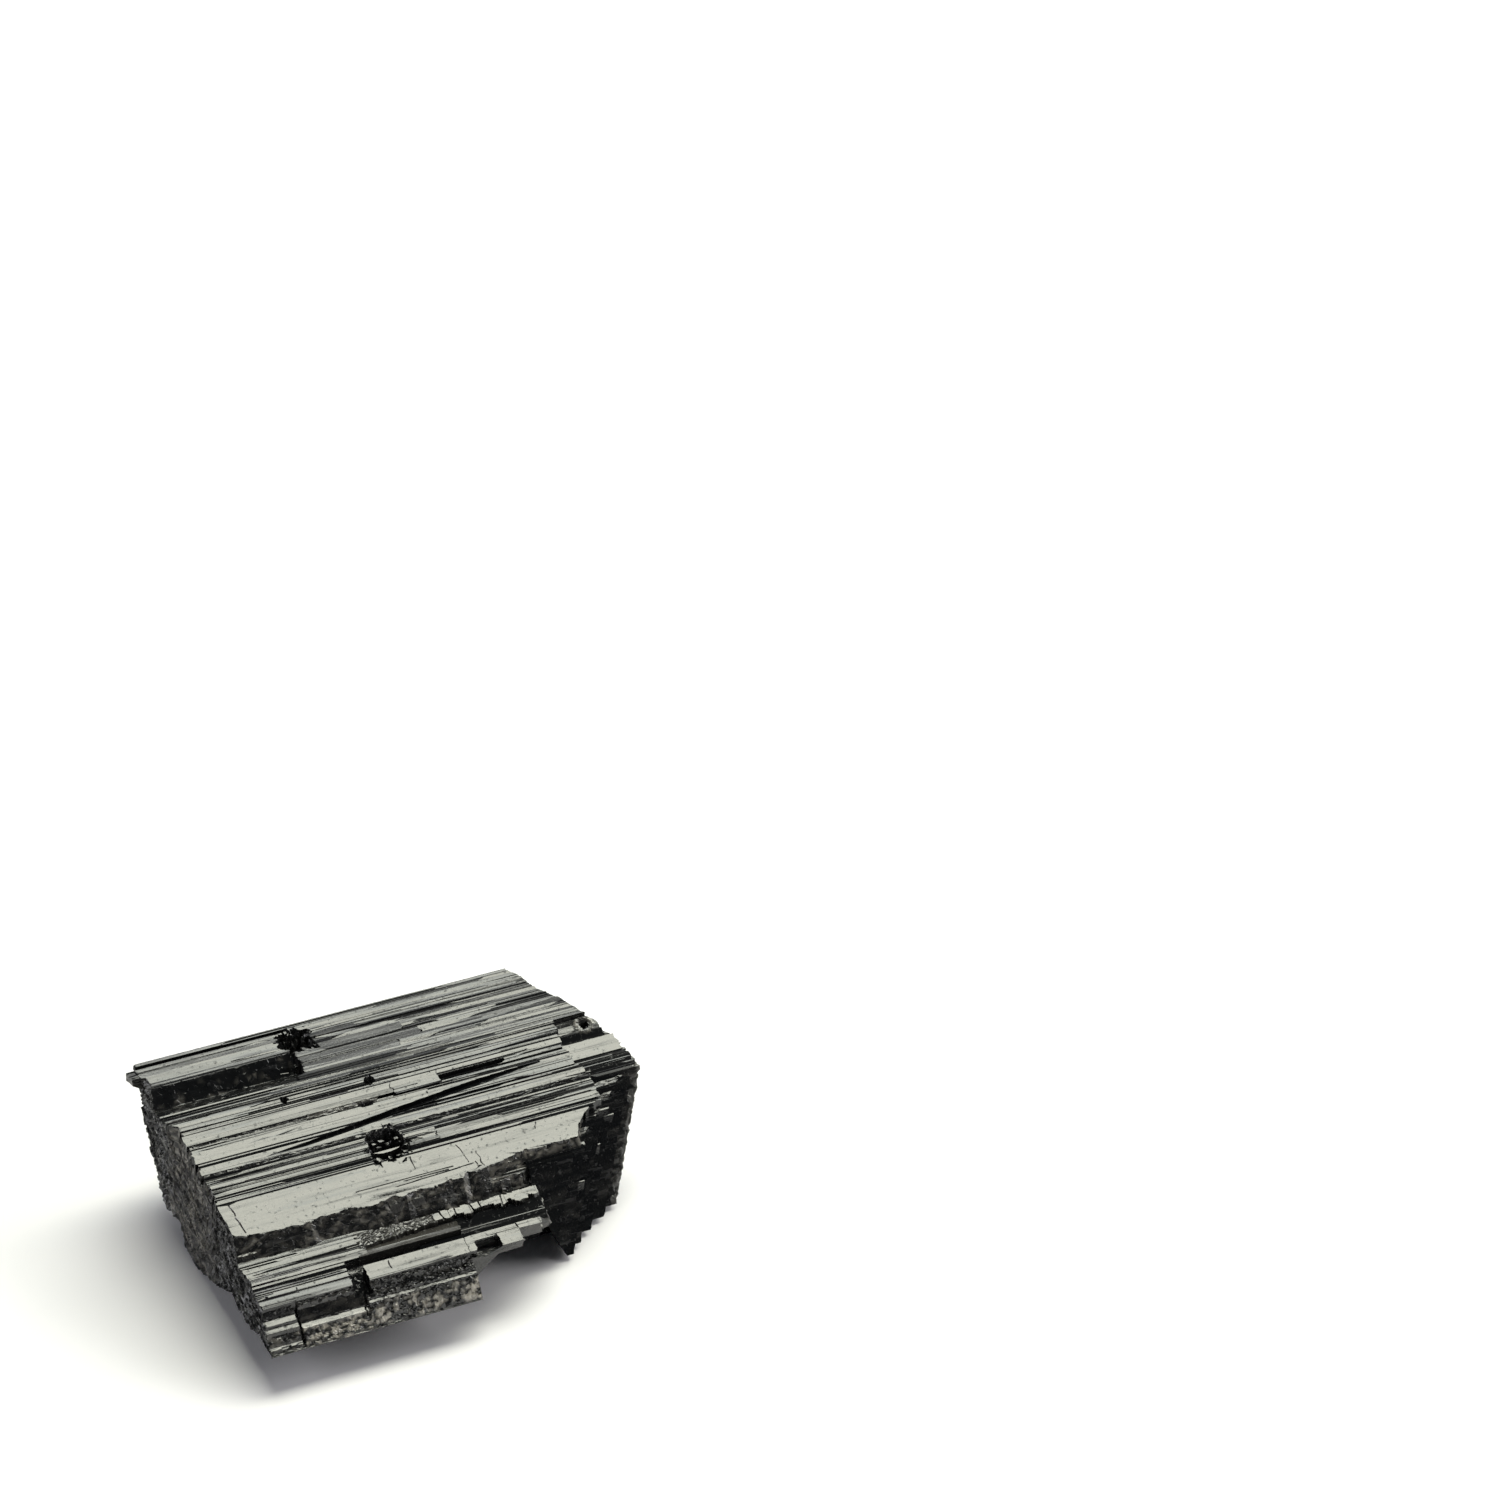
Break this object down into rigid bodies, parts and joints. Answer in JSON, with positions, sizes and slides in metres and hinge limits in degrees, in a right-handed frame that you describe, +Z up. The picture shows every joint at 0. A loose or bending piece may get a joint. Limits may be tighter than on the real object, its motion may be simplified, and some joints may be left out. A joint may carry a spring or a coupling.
{
  "type": "black tourmaline",
  "caption": "Rough piece of black tourmaline: a wedge-shaped slab of parallel ridged crystals with broken ends, lying on a flat patch of its underside.",
  "frame": {"origin": "centre of the outline seen from above, at the level of the flat patch it rests on", "axes": "+X along the ridges towards the stepped right end, -Y towards the low front ledge, +Z up"},
  "size_m": [0.0452, 0.032, 0.0133],
  "materials": {
    "tourmaline": "glossy crystal faces, dull broken ends"
  },
  "bodies": {
    "root": {"tourmaline": "tourmaline"}
  },
  "joints": []
}
